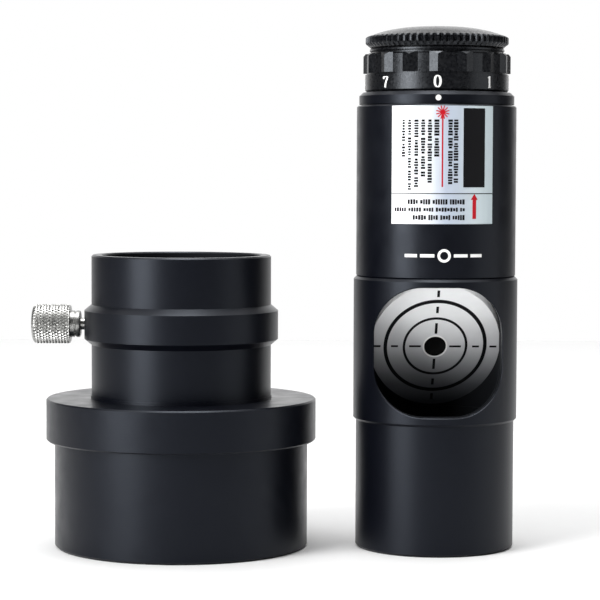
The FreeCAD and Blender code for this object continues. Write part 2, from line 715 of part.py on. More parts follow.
def make_brightness_dial():
    """Cup that holds the battery and turns on its hub: numbered band, ridges and rim."""
    body = new_body("brightness_dial")
    underside = "(collar_top + dial_gap)"
    revolve(body, "dial_turning", [
        ("stem_radius + fit_gap", "hub_bottom"),
        ("hub_radius - fine_break", "hub_bottom"),
        ("hub_radius", "hub_bottom + fine_break"),
        ("hub_radius", "hub_bottom + 0.85"),
        ("hub_radius - 0.7", "hub_bottom + 0.85"),
        ("hub_radius - 0.7", "hub_bottom + 1.65"),
        ("hub_radius", "hub_bottom + 1.65"),
        ("hub_radius", underside),
        ("detent_circle - detent_ball_radius", underside),
        ("detent_circle - detent_ball_radius", f"{underside} + detent_relief"),
        ("detent_circle + detent_ball_radius", f"{underside} + detent_relief"),
        ("detent_circle + detent_ball_radius", underside),
        ("band_radius - fine_break", underside),
        ("band_radius", f"{underside} + fine_break"),
        ("band_radius", "band_top"),
        ("band_radius - grip_groove", "band_top"),
        ("band_radius - grip_groove", "band_top + grip_groove"),
        ("grip_core_radius", "band_top + grip_groove"),
        ("grip_core_radius", "grip_top - 0.4"),
        ("neck_radius", "grip_top - 0.1"),
        ("neck_radius", "grip_top + 0.3"),
        ("dial_rim_radius - 0.15", "grip_top + 0.3"),
        ("dial_rim_radius", "grip_top + 0.45"),
        ("dial_rim_radius", "dial_rim - 0.25"),
        ("dial_rim_radius - 0.25", "dial_rim"),
        ("cap_bore_radius", "dial_rim"),
        ("cap_bore_radius", "cap_bore_bottom"),
        ("battery_bore_radius", "cap_bore_bottom"),
        ("battery_bore_radius", "battery_floor"),
        ("stem_radius + fit_gap", "battery_floor"),
    ])
    add_detent_dimples(body, underside)
    add_grip_ridges(body)
    keep(body, "brightness_dial", rotation=dial_rotation())


def add_detent_dimples(body, underside):
    """One round dimple over the detent ball's circle for each dial position."""
    sketch = new_sketch(body, "XY_Plane", "dimple_outline", offset=f"{underside} + detent_relief")
    draw_circle(sketch, "0", "-detent_circle", "detent_ball_radius * 0.7")
    dimple = extrude(body, "dimple", sketch, "0.3", "Pocket", backwards=True)
    repeat_round(body, "dimples", dimple, DETENT_COUNT)


def add_grip_ridges(body):
    """Low V-shaped ridges round the dial, chamfered together at their upper ends."""
    across = math.sin(RIDGE_HALF_ANGLE)
    along = math.cos(RIDGE_HALF_ANGLE)
    sketch = new_sketch(body, "XY_Plane", "ridge_outline", offset="band_top + grip_groove")
    draw_outline(sketch, [
        (f"-grip_core_radius * {across:.6f}", f"-grip_core_radius * {along:.6f}"),
        ("0", "-grip_peak_radius"),
        (f"grip_core_radius * {across:.6f}", f"-grip_core_radius * {along:.6f}"),
        ("0", "-grip_core_radius * 0.95"),
    ])
    ridge = extrude(body, "ridge", sketch, "grip_top - 0.1 - grip_groove - band_top")
    repeat_round(body, "ridges", ridge, RIDGE_COUNT)
    revolve(body, "ridge_chamfer", [
        ("grip_peak_radius + 0.1", "grip_top - 0.7"),
        ("grip_peak_radius + 0.1", "grip_top"),
        ("grip_peak_radius - 0.5", "grip_top"),
    ], "Groove")


def make_dial_circlip():
    """Open ring in the hub's groove, which holds the dial in the collar."""
    gap_angle = 40.0
    outside = primitive("Cylinder", "circlip_outside", Radius="hub_radius + 1.4", Height="0.6",
                        Angle=f"360 - {gap_angle}")
    inside = primitive("Cylinder", "circlip_inside", Radius="hub_radius - 0.65", Height="0.6")
    keep(cut("circlip_cut", outside, inside), "dial_circlip", base=("0", "0", "hub_bottom + 0.95"))


def make_battery_liner():
    """Insulating cup under the battery, with a stem through the dial's hub."""
    turned("battery_liner", [
        ("1.05", "hub_bottom - 0.75"),
        ("stem_radius", "hub_bottom - 0.75"),
        ("stem_radius", "battery_floor"),
        ("battery_bore_radius - 0.02", "battery_floor"),
        ("battery_bore_radius - 0.02", "cap_bore_bottom - 0.6"),
        ("battery_radius + 0.04", "cap_bore_bottom - 0.6"),
        ("battery_radius + 0.04", "battery_bottom"),
        ("2.55", "battery_bottom"),
        ("2.55", "battery_floor + 0.1"),
        ("1.05", "battery_floor + 0.1"),
    ])


def make_centre_contact():
    """Rivet that carries the current from the battery down the stem."""
    turned("centre_contact", [
        ("0", "hub_bottom - 0.75"),
        ("1", "hub_bottom - 0.75"),
        ("1", "battery_floor + 0.1"),
        ("2.5", "battery_floor + 0.1"),
        ("2.5", "battery_bottom"),
        ("0", "battery_bottom"),
    ])


def make_contact_wiper():
    """Spring finger on the stem that reaches the contact pads."""
    disc = primitive("Cylinder", "wiper_disc", Radius="stem_radius - 0.3", Height="0.3")
    finger = primitive("Box", "wiper_finger", Length="1.6", Width="7.2", Height="0.3",
                       position=("-0.8", "-7.2", "0"))
    joined = doc.addObject("Part::MultiFuse", "wiper_joined")
    joined.Shapes = [disc, finger]
    doc.recompute()
    keep(joined, "contact_wiper", base=("0", "0", "hub_bottom - 1.05"))


def make_coin_battery():
    turned("coin_battery", [
        ("0", "battery_bottom"),
        ("battery_radius - 1.1", "battery_bottom"),
        ("battery_radius - 1.1", "battery_bottom + 0.3"),
        ("battery_radius", "battery_bottom + 0.5"),
        ("battery_radius", "battery_bottom + battery_thickness"),
        ("0", "battery_bottom + battery_thickness"),
    ])


def make_battery_cap():
    """Screw cap with a low dome; its knurled edge is modelled at full radius."""
    body = new_body("battery_cap")
    spigot = "cap_bore_radius - cap_thread_gap"
    revolve(body, "cap_turning", [
        ("battery_radius - 0.5", "cap_bore_bottom + 0.4"),
        (spigot, "cap_bore_bottom + 0.4"),
        (spigot, "cap_bottom"),
        ("cap_radius - 0.85", "cap_bottom"),
        ("cap_radius", "cap_bottom + 0.65"),
        ("cap_radius", "cap_shoulder - 0.5"),
        ("cap_radius - 0.65", "cap_shoulder",
         dome_radius("cap_radius - 0.65", "overall_height - cap_shoulder")),
        ("0", "overall_height"),
        ("0", "overall_height - 3.4"),
        ("battery_radius - 0.5", "overall_height - 3.4"),
    ])
    thread_grooves(body, "cap_thread", f"({spigot})", "(cap_bore_bottom + 0.95)",
                   "cap_thread_pitch", 3, "0.25")
    keep(body, "battery_cap")


# ---- 2 inch adapter, modelled about its own axis ----

ADAPTER = ("-adapter_distance", "0", "0")


def make_adapter_nosepiece():
    """2 inch barrel with a filter thread and a wider flange."""
    turned("adapter_nosepiece", [
        ("adapter_thread_radius", "0"),
        ("adapter_barrel_radius - edge_break", "0"),
        ("adapter_barrel_radius", "edge_break"),
        ("adapter_barrel_radius", "adapter_barrel_length"),
        ("flange_radius - fine_break", "adapter_barrel_length"),
        ("flange_radius", "adapter_barrel_length + fine_break"),
        ("flange_radius", "flange_top - fine_break"),
        ("flange_radius - fine_break", "flange_top"),
        ("holder_spigot_radius + fit_gap", "flange_top"),
        ("holder_spigot_radius + fit_gap", "flange_top - flange_wall"),
        ("adapter_bore_radius", "flange_top - flange_wall"),
        ("adapter_bore_radius", "adapter_thread_length"),
        ("adapter_thread_radius", "adapter_thread_length"),
    ], base=ADAPTER)


def make_eyepiece_holder():
    """Tube for a 1.25 inch barrel, with the raised band that the thumb screw goes through."""
    body = new_body("eyepiece_holder")
    revolve(body, "holder_turning", [
        ("holder_bore_radius", "flange_top - flange_wall"),
        ("holder_spigot_radius", "flange_top - flange_wall"),
        ("holder_spigot_radius", "flange_top"),
        ("holder_foot_radius", "flange_top"),
        ("holder_foot_radius", "flange_top + holder_foot_height"),
        ("holder_radius", "flange_top + holder_foot_height"),
        ("holder_radius", "holder_band_bottom - holder_band_slope"),
        ("holder_band_radius", "holder_band_bottom"),
        ("holder_band_radius", "holder_band_top"),
        ("holder_radius", "holder_band_top + holder_band_slope"),
        ("holder_radius", "holder_top - fine_break"),
        ("holder_radius - fine_break", "holder_top"),
        ("holder_bore_radius + fine_break", "holder_top"),
        ("holder_bore_radius", "holder_top - fine_break"),
    ])
    sketch = new_sketch(body, "YZ_Plane", "thumb_hole_outline")
    draw_circle(sketch, "0", "thumb_height", "thumb_thread_radius + fit_gap")
    extrude(body, "thumb_hole", sketch, "holder_band_radius + 1", "Pocket")
    keep(body, "eyepiece_holder", base=ADAPTER)


THUMB_PLACE = {
    "base": ("-adapter_distance", "0", "thumb_height"),
    "rotation": FreeCAD.Rotation(180, 90, 0),
}


def make_thumb_screw_stud():
    """Threaded end and neck of the thumb screw, along Z before it is placed."""
    body = new_body("thumb_screw_stud")
    revolve(body, "stud_turning", [
        ("0", "thumb_tip"),
        ("thumb_thread_radius - fine_break", "thumb_tip"),
        ("thumb_thread_radius", "thumb_tip + fine_break"),
        ("thumb_thread_radius", "thumb_neck_start"),
        ("thumb_neck_radius", "thumb_neck_start"),
        ("thumb_neck_radius", "thumb_head_end - 3"),
        ("0", "thumb_head_end - 3"),
    ])
    thread_grooves(body, "stud_thread", "thumb_thread_radius", "thumb_tip + 0.6", "0.5", 5, "0.12")
    keep(body, "thumb_screw_stud", **THUMB_PLACE)


def make_thumb_screw_head():
    """Polished collar and knurled head of the thumb screw, along Z before it is placed."""
    bore = "thumb_neck_radius + fit_gap"
    turned("thumb_screw_head", [
        (bore, "thumb_collar_start"),
        ("thumb_collar_radius - fine_break", "thumb_collar_start"),
        ("thumb_collar_radius", "thumb_collar_start + fine_break"),
        ("thumb_collar_radius", "thumb_head_start"),
        ("thumb_head_radius - fine_break", "thumb_head_start"),
        ("thumb_head_radius", "thumb_head_start + fine_break"),
        ("thumb_head_radius", "thumb_head_end - thumb_head_break"),
        ("thumb_head_radius - thumb_head_break", "thumb_head_end"),
        ("0", "thumb_head_end"),
        ("0", "thumb_head_end - 2.9"),
        (bore, "thumb_head_end - 2.9"),
    ], **THUMB_PLACE)


# ---- checking and writing ----

def check_document():
    """Stops when any object of the document failed, or a sub-part has no valid solid."""
    doc.recompute()
    for obj in doc.Objects:
        if "Invalid" in obj.State or "Error" in obj.State:
            raise RuntimeError(f"{obj.Label} failed: {obj.State}")
    for obj in kept:
        if obj.Shape.isNull() or not obj.Shape.isValid() or not obj.Shape.Solids:
            raise RuntimeError(f"{obj.Label} has no valid shape")


def check_cuts():
    """Each of these cuts has to take material away."""
    for name in ("window", "target_face", "adjust_hole", "ball_pocket", "dimple", "thumb_hole"):
        feature = doc.getObject(name)
        before = feature.BaseFeature.Shape.Volume
        if feature.Shape.Volume > before - 0.01:
            raise RuntimeError(f"{name} cuts nothing")


def write_parts():
    os.makedirs("parts", exist_ok=True)
    for obj in kept:
        obj.Shape.exportStep(f"parts/{obj.Label}.step")
        print(f"{obj.Label:20s} {len(obj.Shape.Solids):3d} solids {obj.Shape.Volume:10.2f} mm3")


fill_sheet()
make_main_barrel()
make_target_plug()
make_laser_housing()
make_label_plate()
make_pivot_seat()
make_pivot_o_ring()
make_laser_sleeve()
make_collimating_lens()
make_lens_retainer()
coil_spring("focus_spring", radius="cell_radius - 0.6", wire="0.25",
            bottom="sleeve_bottom + 7.25", top="diode_seat - 1.25", turns=4)
make_diode_holder()
make_laser_diode()
make_driver_board()
make_index_collar()
make_detent()
make_switch_board()
make_contact_pads()
make_board_resistors()
make_power_leads()
make_adjust_screws()
make_brightness_dial()
make_dial_circlip()
make_battery_liner()
make_centre_contact()
make_contact_wiper()
make_coin_battery()
coil_spring("battery_spring", radius="battery_radius / 2.5", wire="0.3", turns=3,
            bottom="battery_bottom + battery_thickness + 0.05", top="overall_height - 3.45")
make_battery_cap()
make_adapter_nosepiece()
make_eyepiece_holder()
make_thumb_screw_stud()
make_thumb_screw_head()
check_document()
check_cuts()
write_parts()
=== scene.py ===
import json
import math
import random

import bmesh
import bpy
from mathutils import Matrix, Vector


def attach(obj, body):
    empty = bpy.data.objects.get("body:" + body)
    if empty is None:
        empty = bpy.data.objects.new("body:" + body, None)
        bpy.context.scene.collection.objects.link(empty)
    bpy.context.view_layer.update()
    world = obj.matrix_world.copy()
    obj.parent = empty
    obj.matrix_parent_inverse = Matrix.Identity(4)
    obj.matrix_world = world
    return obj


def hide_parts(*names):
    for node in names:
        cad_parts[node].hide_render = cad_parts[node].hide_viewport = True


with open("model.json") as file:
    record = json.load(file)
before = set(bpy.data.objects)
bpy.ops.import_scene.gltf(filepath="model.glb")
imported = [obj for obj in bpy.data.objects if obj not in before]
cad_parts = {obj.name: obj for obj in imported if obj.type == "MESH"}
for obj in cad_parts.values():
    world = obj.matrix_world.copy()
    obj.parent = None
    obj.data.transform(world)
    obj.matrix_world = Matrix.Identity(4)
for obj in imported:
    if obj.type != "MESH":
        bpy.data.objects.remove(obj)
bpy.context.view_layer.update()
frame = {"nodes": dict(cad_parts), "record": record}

MM = 0.001
FRONT = -90.0
SHARP_ANGLE = math.radians(32)


# ---------------------------------------------------------------- sizes in mm

ADAPTER_X = -51.0
DIAL_TURN = -2.7
BAND_RADIUS = 14.31
BAND_MIDDLE = 92.85
COLLAR_RADIUS = 15.47
COLLAR_MIDDLE = 89.65
HOUSING_RADIUS = 15.93
FOIL_RADIUS = 15.99
TARGET_CENTRE = 40.25
BEAM_HOLE_RADIUS = 2.15
TARGET_SQUASH = 0.96
THUMB_HEIGHT = 44.55
CAP_TOP = 104.15
CAP_CEILING = 100.75
PRINT_THICKNESS = 0.03


# ---------------------------------------------------------------- material helpers

def new_material(name, **sockets):
    """A material with a Principled shader whose named sockets are set."""
    material = bpy.data.materials.new(name)
    material.use_nodes = True
    shader = material.node_tree.nodes["Principled BSDF"]
    for socket, value in sockets.items():
        shader.inputs[socket.replace("_", " ")].default_value = value
    return material, shader


def add_node(material, kind, inputs=(), **settings):
    """A shader node; inputs are (socket, value or output socket) pairs."""
    node = material.node_tree.nodes.new("ShaderNode" + kind)
    for name, value in settings.items():
        setattr(node, name, value)
    for socket, value in inputs:
        if isinstance(value, bpy.types.NodeSocket):
            material.node_tree.links.new(value, node.inputs[socket])
        else:
            node.inputs[socket].default_value = value
    return node


def link(material, source, target):
    material.node_tree.links.new(source, target)


def object_place(material):
    return add_node(material, "TexCoord").outputs["Object"]


def round_place(material, axis_x):
    """(distance from an upright axis, height) in metres, the path of a lathe tool."""
    place = object_place(material)
    shifted = add_node(material, "VectorMath", [(0, place), (1, (axis_x * MM, 0, 0))],
                       operation="SUBTRACT")
    flat = add_node(material, "VectorMath", [(0, shifted.outputs[0]), (1, (1, 1, 0))],
                    operation="MULTIPLY")
    radius = add_node(material, "VectorMath", [(0, flat.outputs[0])], operation="LENGTH")
    parts = add_node(material, "SeparateXYZ", [(0, shifted.outputs[0])])
    path = add_node(material, "CombineXYZ", [(0, radius.outputs["Value"]), (2, parts.outputs["Z"])])
    return path.outputs[0], radius.outputs["Value"]


def noise(material, place, scale, detail=2.0):
    node = add_node(material, "TexNoise", [("Vector", place), ("Scale", scale), ("Detail", detail)])
    return node.outputs["Fac"]


def math_node(material, operation, first, second=0.0, third=0.0):
    node = add_node(material, "Math", [(0, first), (1, second), (2, third)], operation=operation)
    return node.outputs[0]


def mix_colours(material, factor, first, second):
    """A colour mix; first and second are RGBA values or colour outputs."""
    node = material.node_tree.nodes.new("ShaderNodeMix")
    node.data_type = "RGBA"
    for socket, value in ((0, factor), (6, first), (7, second)):
        if isinstance(value, bpy.types.NodeSocket):
            link(material, value, node.inputs[socket])
        else:
            node.inputs[socket].default_value = value
    return node.outputs[2]


def shade(colour, factor):
    return (colour[0] * factor, colour[1] * factor, colour[2] * factor, 1.0)


def map_range(material, value, low, high, to_low, to_high):
    node = add_node(material, "MapRange", [("Value", value), ("From Min", low), ("From Max", high),
                                           ("To Min", to_low), ("To Max", to_high)])
    return node.outputs["Result"]


def colour_ramp(material, value, stops):
    """A colour that runs through (position, RGBA) stops."""
    ramp = add_node(material, "ValToRGB", [("Fac", value)])
    elements = ramp.color_ramp.elements
    elements[0].position, elements[0].color = stops[0]
    elements[1].position, elements[1].color = stops[-1]
    for position, colour in stops[1:-1]:
        elements.new(position).color = colour
    return ramp.outputs["Color"]


def relief(material, shader, height, depth_mm):
    """Bump of a given depth from a height of 0 to 1."""
    bump = add_node(material, "Bump", [("Height", height), ("Strength", 1.0),
                                       ("Distance", depth_mm * MM)])
    link(material, bump.outputs[0], shader.inputs["Normal"])


def uneven(material, shader, place, colour, roughness, patch_scale, spread=0.15, sheen=0.05):
    """Colour and roughness that drift slightly over the surface."""
    patches = noise(material, place, patch_scale, 4.0)
    mixed = mix_colours(material, patches, shade(colour, 1 - spread), shade(colour, 1 + spread))
    link(material, mixed, shader.inputs["Base Color"])
    rough = map_range(material, patches, 0.3, 0.7, roughness - sheen, roughness + sheen)
    link(material, rough, shader.inputs["Roughness"])
    return mixed


# ---------------------------------------------------------------- materials

def anodised(name, axis_x, bore_radius=None, colour=(0.0018, 0.0021, 0.0040), roughness=0.35):
    """Black anodised aluminium with turning marks and a fine satin grain; a bore is duller."""
    material, shader = new_material(name)
    shader.inputs["Specular IOR Level"].default_value = 0.22
    shader.inputs["Specular Tint"].default_value = (0.78, 0.86, 1.0, 1)
    place = object_place(material)
    path, radius = round_place(material, axis_x)
    mixed = uneven(material, shader, place, colour, roughness, 260)
    if bore_radius:
        outside = math_node(material, "GREATER_THAN", radius, bore_radius * MM)
        inner = mix_colours(material, outside, (0.0015, 0.0015, 0.0018, 1), mixed)
        link(material, inner, shader.inputs["Base Color"])
        rough = map_range(material, outside, 0, 1, 0.75, roughness)
        link(material, rough, shader.inputs["Roughness"])
    marks = noise(material, path, 5200)
    grain = noise(material, place, 3400)
    height = math_node(material, "MULTIPLY_ADD", marks, 0.5, grain)
    relief(material, shader, height, 0.011)
    return material


def rough_knurl(name, specular):
    """Anodised grip surfaces: coarser grain, slightly rubbed grey on the high spots."""
    material, shader = new_material(name)
    shader.inputs["Specular IOR Level"].default_value = specular
    shader.inputs["Specular Tint"].default_value = (0.86, 0.92, 1.0, 1)
    place = object_place(material)
    wear = noise(material, place, 1900, 3.0)
    rubbed = map_range(material, wear, 0.50, 0.72, 0.0, 1.0)
    mixed = mix_colours(material, rubbed, (0.003, 0.0032, 0.004, 1), (0.010, 0.010, 0.011, 1))
    link(material, mixed, shader.inputs["Base Color"])
    link(material, map_range(material, wear, 0.3, 0.7, 0.24, 0.36), shader.inputs["Roughness"])
    relief(material, shader, noise(material, place, 3300, 3.0), 0.018)
    return material


def target_plate():
    """Satin silver target face with painted shade, darker towards its deep end; the beam hole is painted black as
    shade.
    """
    material, shader = new_material("target_face")
    shader.inputs["Metallic"].default_value = 0.25
    shader.inputs["Specular IOR Level"].default_value = 0.2
    place = object_place(material)
    _, radius = round_place(material, 0.0)
    silver = uneven(material, shader, place, (0.93, 0.94, 0.95), 0.42, 500, spread=0.04)
    parts = add_node(material, "SeparateXYZ", [(0, place)])
    height = map_range(material, parts.outputs["Z"], 28 * MM, 53 * MM, 0.0, 1.0)
    # Painted shade: the face's colour darkens towards its deep lower end, standing in for the shadow inside the
    # tube.
    painted_depth_shade = colour_ramp(material, height, (
        (0.0, (0.02, 0.022, 0.026, 1)), (0.15, (0.10, 0.105, 0.115, 1)), (0.24, (0.20, 0.205, 0.215, 1)),
        (0.36, (0.38, 0.385, 0.395, 1)), (0.52, (0.68, 0.68, 0.69, 1)), (0.75, (0.92, 0.92, 0.92, 1)),
        (1.0, (1, 1, 1, 1))))
    mixed = add_node(material, "VectorMath", [(0, silver), (1, painted_depth_shade)],
                     operation="MULTIPLY").outputs[0]
    # Painted shade: the beam hole's wall is coloured near black and made fully rough, standing in for the
    # darkness inside the hole.
    painted_hole_shade = math_node(material, "LESS_THAN", radius, (BEAM_HOLE_RADIUS + 0.03) * MM)
    colour = mix_colours(material, painted_hole_shade, mixed, (0.002, 0.002, 0.002, 1))
    link(material, colour, shader.inputs["Base Color"])
    link(material, map_range(material, painted_hole_shade, 0, 1, 0.42, 1.0), shader.inputs["Roughness"])
    stretched = add_node(material, "VectorMath", [(0, place), (1, (1.0, 0.12, 0.12))],
                         operation="MULTIPLY")
    relief(material, shader, noise(material, stretched.outputs[0], 4200), 0.004)
    return material


def label_foil():
    """Silver foil with a painted reflection across it: white at its left edge, through pale blue-grey, to
    cyan-grey on the right.
    """
    material, shader = new_material("label_foil")
    shader.inputs["Metallic"].default_value = 0.15
    shader.inputs["Roughness"].default_value = 0.38
    place = object_place(material)
    parts = add_node(material, "SeparateXYZ", [(0, place)])
    across = map_range(material, parts.outputs["X"], -10 * MM, 11 * MM, 0.0, 1.0)
    # Painted reflection: the foil's tone runs from white on the left to cyan-grey on the right, standing in for
    # reflected studio light.
    tone = colour_ramp(material, across, (
        (0.0, (0.84, 0.84, 0.85, 1)), (0.36, (0.72, 0.75, 0.78, 1)), (0.52, (0.44, 0.50, 0.60, 1)),
        (0.64, (0.46, 0.52, 0.60, 1)), (0.80, (0.56, 0.64, 0.67, 1)), (1.0, (0.46, 0.55, 0.58, 1))))
    stretched = add_node(material, "VectorMath", [(0, place), (1, (1.0, 1.0, 0.06))],
                         operation="MULTIPLY")
    streaks = noise(material, stretched.outputs[0], 1500, 3.0)
    streaked_painted_reflection = mix_colours(material, map_range(material, streaks, 0.35, 0.65, 0.0, 0.12),
                       tone, (0.42, 0.46, 0.52, 1))
    link(material, streaked_painted_reflection, shader.inputs["Base Color"])
    relief(material, shader, noise(material, stretched.outputs[0], 5200), 0.003)
    return material


def metal(name, colour, roughness, grain=4200, depth=0.004, spread=0.06, sheen=0.05, metallic=1.0):
    """Bare metal with an uneven polish and a fine grain."""
    material, shader = new_material(name, Metallic=metallic)
    place = object_place(material)
    uneven(material, shader, place, colour, roughness, 420, spread, sheen)
    relief(material, shader, noise(material, place, grain), depth)
    return material


def moulded(name, colour, roughness, grain=2600, depth=0.008, spread=0.12, specular=0.5):
    """Plastic, rubber, paint or resin with a faint texture."""
    material, shader = new_material(name)
    shader.inputs["Specular IOR Level"].default_value = specular
    place = object_place(material)
    uneven(material, shader, place, colour, roughness, 350, spread)
    relief(material, shader, noise(material, place, grain), depth)
    return material


def coated_glass():
    """Lens glass with a faint blue coating."""
    material, shader = new_material("lens_glass", Roughness=0.02)
    shader.inputs["Transmission Weight"].default_value = 0.9
    shader.inputs["Coat Weight"].default_value = 0.6
    shader.inputs["Coat Tint"].default_value = (0.55, 0.65, 1.0, 1)
    place = object_place(material)
    tint = mix_colours(material, noise(material, place, 300), (0.90, 0.94, 1, 1), (0.96, 0.98, 1, 1))
    link(material, tint, shader.inputs["Base Color"])
    return material


def circuit_board():
    """Green solder mask with darker copper tracks under it."""
    material, shader = new_material("circuit_board")
    place = object_place(material)
    mask = uneven(material, shader, place, (0.012, 0.085, 0.035), 0.35, 600)
    tracks = add_node(material, "TexBrick", [("Vector", place), ("Scale", 420.0), ("Mortar Size", 0.035)])
    lined = mix_colours(material, tracks.outputs["Fac"], mask, (0.03, 0.13, 0.05, 1))
    link(material, lined, shader.inputs["Base Color"])
    relief(material, shader, tracks.outputs["Fac"], 0.02)
    return material


def make_materials():
    return {
        "black_anodised": anodised("black_anodised", 0.0, bore_radius=14.6),
        "black_adapter": anodised("black_anodised_adapter", ADAPTER_X, bore_radius=16.05),
        "black_flange": anodised("black_anodised_flange", ADAPTER_X),
        "black_housing": anodised("black_anodised_housing", 0.0),
        "black_knurl": rough_knurl("black_knurl", 0.30),
        "black_dial": rough_knurl("black_knurl_dial", 0.36),
        "target_face": target_plate(),
        "label_foil": label_foil(),
        "bright_steel": metal("bright_steel", (0.36, 0.36, 0.35), 0.34),
        "spring_steel": metal("spring_steel", (0.52, 0.52, 0.54), 0.28, grain=2600),
        "screw_steel": metal("screw_steel", (0.10, 0.10, 0.11), 0.38, spread=0.2),
        "battery_steel": metal("battery_steel", (0.66, 0.66, 0.66), 0.27),
        "brass": metal("brass", (0.72, 0.50, 0.21), 0.30),
        "contact_metal": metal("contact_metal", (0.83, 0.64, 0.28), 0.24),
        "lens_glass": coated_glass(),
        "rubber_seal": moulded("rubber_seal", (0.016, 0.016, 0.017), 0.62),
        "circuit_board": circuit_board(),
        "chip_ceramic": moulded("chip_ceramic", (0.05, 0.05, 0.055), 0.45),
        "liner_plastic": moulded("liner_plastic", (0.035, 0.035, 0.038), 0.45),
        "lead_insulation": moulded("lead_insulation", (0.45, 0.02, 0.02), 0.40),
        "white_print": moulded("white_print", (0.84, 0.84, 0.83), 0.50, depth=0.003, spread=0.03),
        "black_print": moulded("black_print", (0.004, 0.004, 0.005), 0.55, depth=0.003, specular=0.12),
        "red_print": moulded("red_print", (0.42, 0.004, 0.012), 0.5, depth=0.003, spread=0.08, specular=0.2),
    }


MATERIALS = make_materials()


def dress_cad_nodes():
    """Gives every CAD node the material of its slot, and the large turned parts their own."""
    slots = {row["node"]: row["material_slot"] for row in frame["record"]["subparts"]}
    special = {
        "eyepiece_holder": "black_adapter",
        "adapter_nosepiece": "black_flange",
        "laser_housing": "black_housing",
        "index_collar": "black_housing",
        "brightness_dial": "black_dial",
    }
    for name, node in frame["nodes"].items():
        material = MATERIALS[special.get(name, slots[name])]
        for slot in node.material_slots:
            slot.material = material


# ---------------------------------------------------------------- mesh helpers

def add_piece(name, vertices, faces, slot, body):
    """A closed mesh piece, sizes in mm, that rides on a body."""
    mesh = bpy.data.meshes.new(name)
    mesh.from_pydata([[value * MM for value in vertex] for vertex in vertices], [], faces)
    work = bmesh.new()
    work.from_mesh(mesh)
    bmesh.ops.remove_doubles(work, verts=work.verts, dist=0.0005 * MM)
    bmesh.ops.recalc_face_normals(work, faces=work.faces)
    work.to_mesh(mesh)
    work.free()
    mesh.shade_smooth()
    mesh.set_sharp_from_angle(angle=SHARP_ANGLE)
    mesh.materials.append(MATERIALS[slot])
    piece = bpy.data.objects.new(name, mesh)
    bpy.context.collection.objects.link(piece)
    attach(piece, body)
    return piece


def turned_shell(rows, steps, radius_at, place):
    """Surface of revolution from rows of (radius, height, relief); radius_at varies it round.

    The first and last rows may lie on the axis. place turns (x, y, height) into mm.
    """
    vertices = []
    faces = []
    for radius, height, depth in rows:
        for step in range(steps):
            angle = 2 * math.pi * step / steps
            reach = radius_at(radius, height, depth, angle)
            vertices.append(place(reach * math.cos(angle), reach * math.sin(angle), height))
    for row in range(len(rows)):
        below = row * steps
        above = (row + 1) % len(rows) * steps
        for step in range(steps):
            after = (step + 1) % steps
            faces.append((below + step, below + after, above + after, above + step))
    return vertices, faces


# ---------------------------------------------------------------- battery cap and thumb screw

KNURL_TEETH = 66
STEPS_PER_TOOTH = 8


def tooth_valley(phase):
    """0 on a tooth's flat crest, 1 at the bottom of the rounded valley beside it."""
    distance = abs(phase % 1.0 - 0.5) * 2
    return max(0.0, min(1.0, (0.62 - distance) / 0.45)) ** 0.8


def make_battery_cap():
    """Screw cap with a low dome, straight knurling and a threaded spigot."""
    def reach(radius, height, depth, angle):
        return radius - depth * tooth_valley(angle * KNURL_TEETH / (2 * math.pi))

    spigot = 11.5
    rows = [(9.5, CAP_CEILING, 0), (9.5, 97.0, 0), (spigot, 97.0, 0)]
    for turn in range(3):
        groove = 97.55 + 0.75 * turn
        rows += [(spigot, groove - 0.2, 0), (spigot - 0.25, groove, 0), (spigot, groove + 0.2, 0)]
    rows += [
        (spigot, 99.95, 0), (13.4, 99.95, 0.0), (13.5, 100.12, 0.06), (14.15, 100.62, 0.56),
        (14.25, 100.75, 0.7), (14.25, 101.8, 0.7), (14.2, 101.9, 0.62), (13.8, 102.15, 0.34),
        (13.62, 102.22, 0.1), (13.45, 102.25, 0.0),
    ]
    dome_edge = 13.5
    for step in range(1, 11):
        radius = dome_edge * (1 - step / 10)
        rows.append((radius, CAP_TOP - 1.9 * (radius / dome_edge) ** 2.8, 0))
    rows += [(0.0, CAP_CEILING, 0)]
    vertices, faces = turned_shell(rows, KNURL_TEETH * STEPS_PER_TOOTH, reach,
                                   lambda x, y, height: (x, y, height))
    cap = add_piece("battery_cap_knurled", vertices, faces, "black_knurl", "cap")
    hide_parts("battery_cap")


DIAMONDS = 36
DIAMOND_LENGTH = 1.2


def make_thumb_head():
    """Polished collar and diamond-knurled head of the thumb screw."""
    def ridge(phase):
        return 1 - abs(phase % 1.0 - 0.5) * 2

    def reach(radius, height, depth, angle):
        across = angle * DIAMONDS / (2 * math.pi)
        along = height / DIAMOND_LENGTH
        return radius - depth * (1 - min(ridge(across + along), ridge(across - along)))

    rows = [(1.25, 20.2, 0), (2.35, 20.2, 0), (2.62, 20.32, 0), (2.7, 20.55, 0), (2.7, 21.0, 0),
            (2.5, 21.12, 0), (2.5, 21.28, 0), (2.7, 21.4, 0), (2.7, 22.2, 0), (3.6, 22.2, 0),
            (3.82, 22.3, 0.05)]
    first = 22.45
    last = 29.1
    count = 48
    for step in range(count + 1):
        rows.append((4.0, first + (last - first) * step / count, 0.36))
    rows += [(3.8, 29.42, 0.22), (3.45, 29.68, 0.12), (3.1, 29.82, 0.0), (2.8, 29.9, 0),
             (1.2, 29.9, 0), (0.0, 29.9, 0), (0.0, 27.0, 0), (1.25, 27.0, 0)]
    vertices, faces = turned_shell(rows, DIAMONDS * STEPS_PER_TOOTH, reach,
                                   lambda x, y, height: (ADAPTER_X - height, x, THUMB_HEIGHT + y))
    head = add_piece("thumb_screw_knurled", vertices, faces, "bright_steel", "thumb_head")
    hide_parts("thumb_screw_head")


# ---------------------------------------------------------------- printed marks

